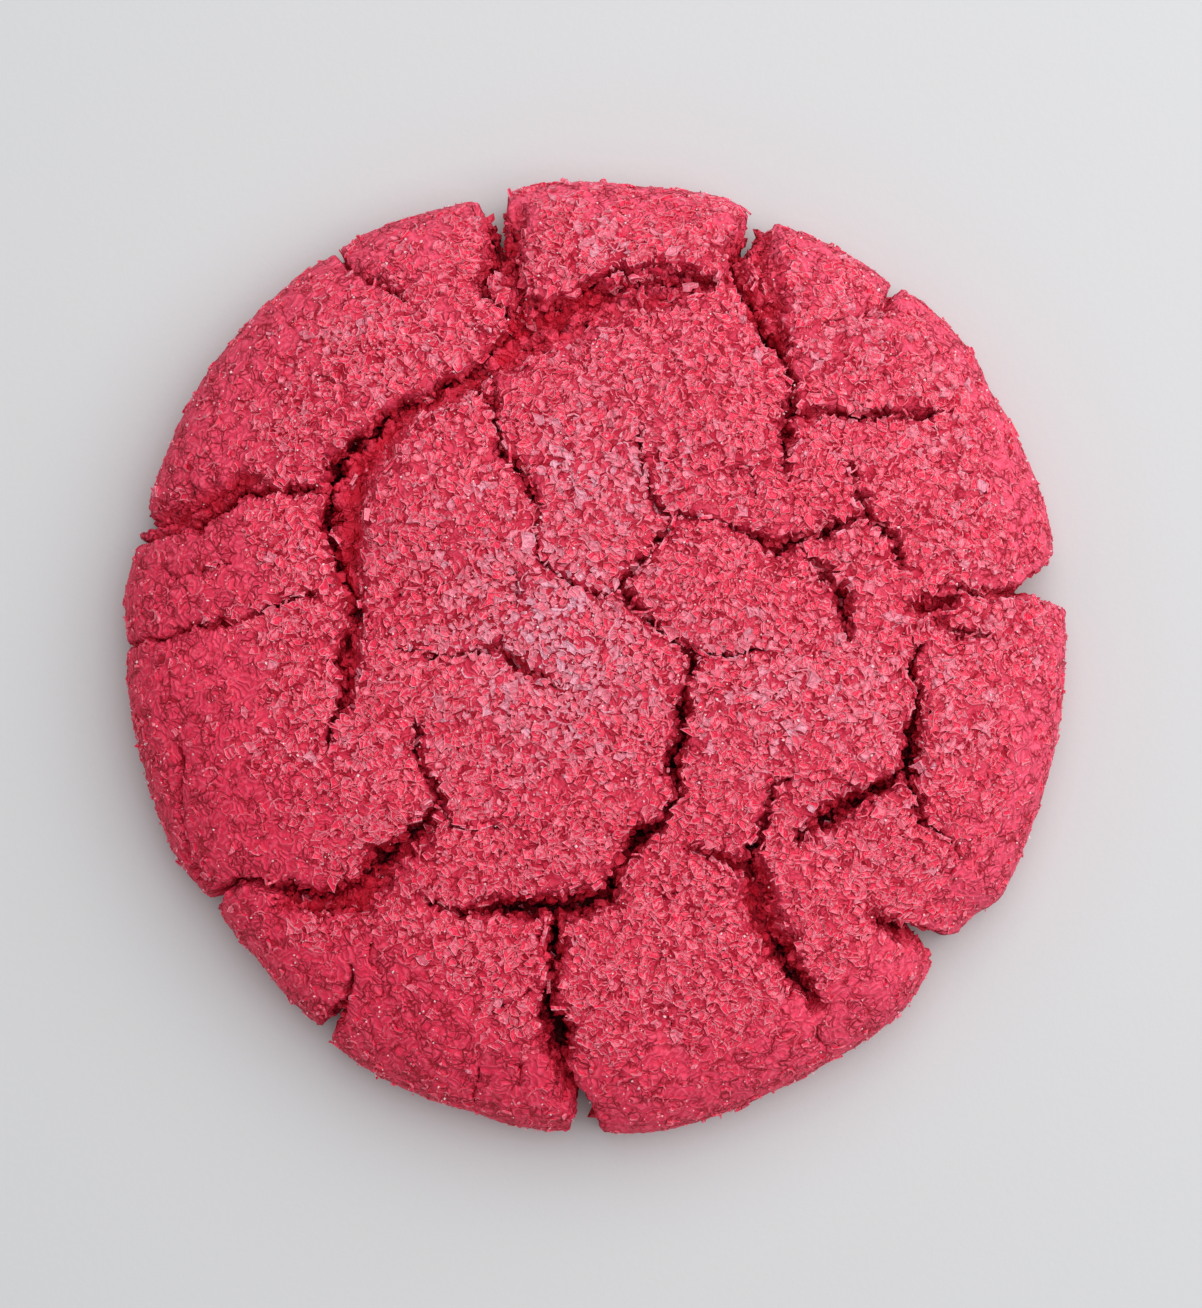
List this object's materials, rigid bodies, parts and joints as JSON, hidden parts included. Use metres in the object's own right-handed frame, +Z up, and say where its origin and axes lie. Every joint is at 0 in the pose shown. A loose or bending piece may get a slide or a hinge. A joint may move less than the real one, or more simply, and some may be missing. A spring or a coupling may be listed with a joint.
{
  "type": "polvoron biscuit",
  "caption": "Round pink shortbread biscuit, a flat-based dome with a rounded rim, its sugared top split by deep crumbly cracks.",
  "frame": {"origin": "centre of the flat base", "axes": "+Z up through the biscuit's thickness, +X and +Y across the base; seen from above, +Y is the picture's up and +X its right"},
  "size_m": [0.088, 0.089, 0.017],
  "materials": {
    "dough": "dull pink baked dough, crumbly in the cracks and smoother round the rim",
    "sugar": "pale pink translucent sugar crystals pressed into the top"
  },
  "bodies": {
    "root": {"polvoron": "dough"}
  },
  "joints": []
}
